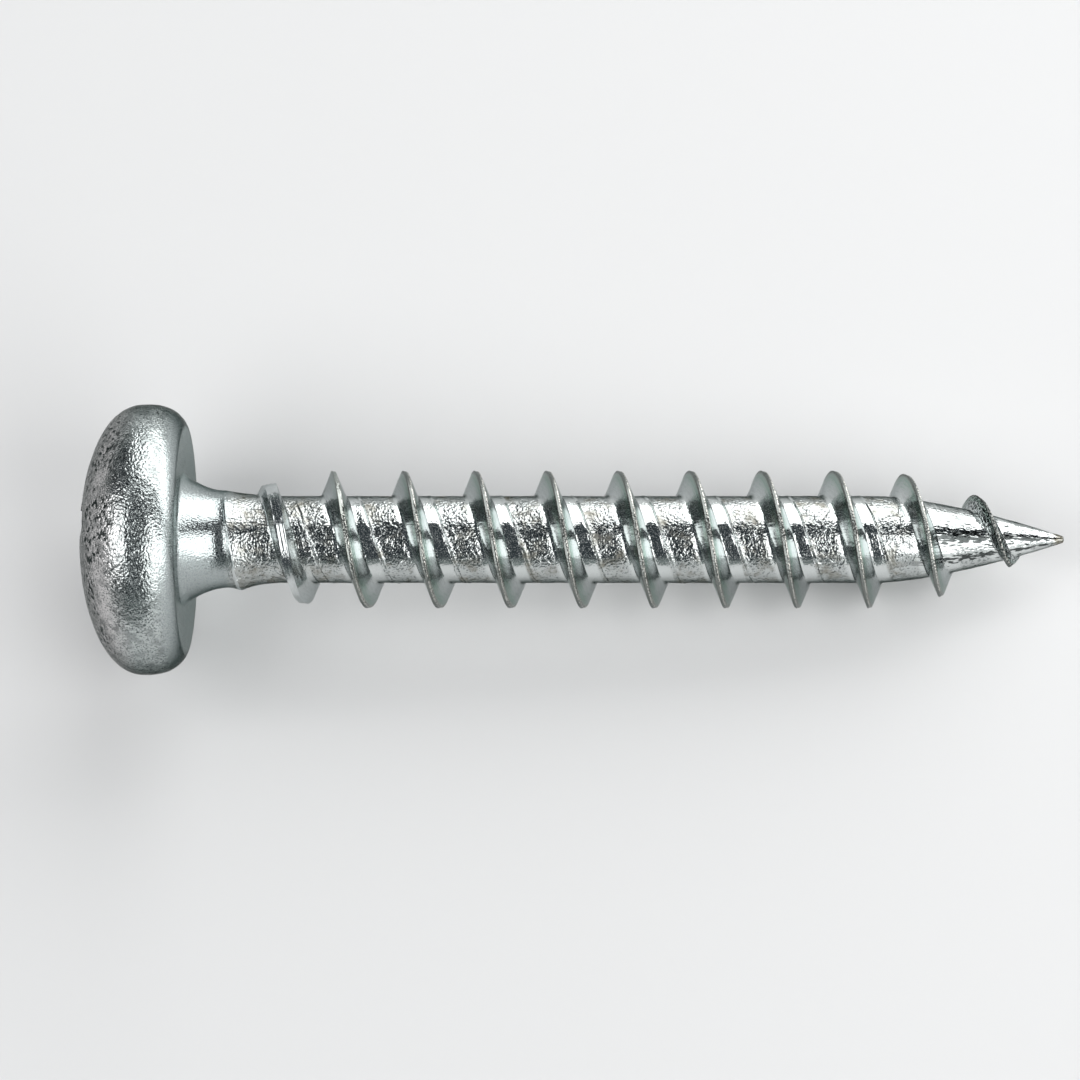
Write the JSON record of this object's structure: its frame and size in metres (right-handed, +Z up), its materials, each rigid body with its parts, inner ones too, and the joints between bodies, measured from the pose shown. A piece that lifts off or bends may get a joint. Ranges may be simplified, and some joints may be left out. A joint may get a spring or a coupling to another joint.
{
  "type": "chipboard screw",
  "caption": "Zinc-plated pan-head chipboard screw with a coarse right-hand thread, a sharp point and a cross recess, lying at rest.",
  "frame": {"origin": "on the surface that the screw lies on, under the middle of its bounding box", "axes": "+Z up from the surface; +X along the screw in plan, from its head to its point, with the point 5.26 degrees lower than the axis would run level; +Y to the left of +X"},
  "size_m": [0.0279, 0.0078, 0.0077],
  "materials": {
    "zinc_plated_steel": "bright bluish zinc plating over cold-formed and thread-rolled steel"
  },
  "bodies": {
    "root": {"screw": "zinc_plated_steel"}
  },
  "joints": []
}
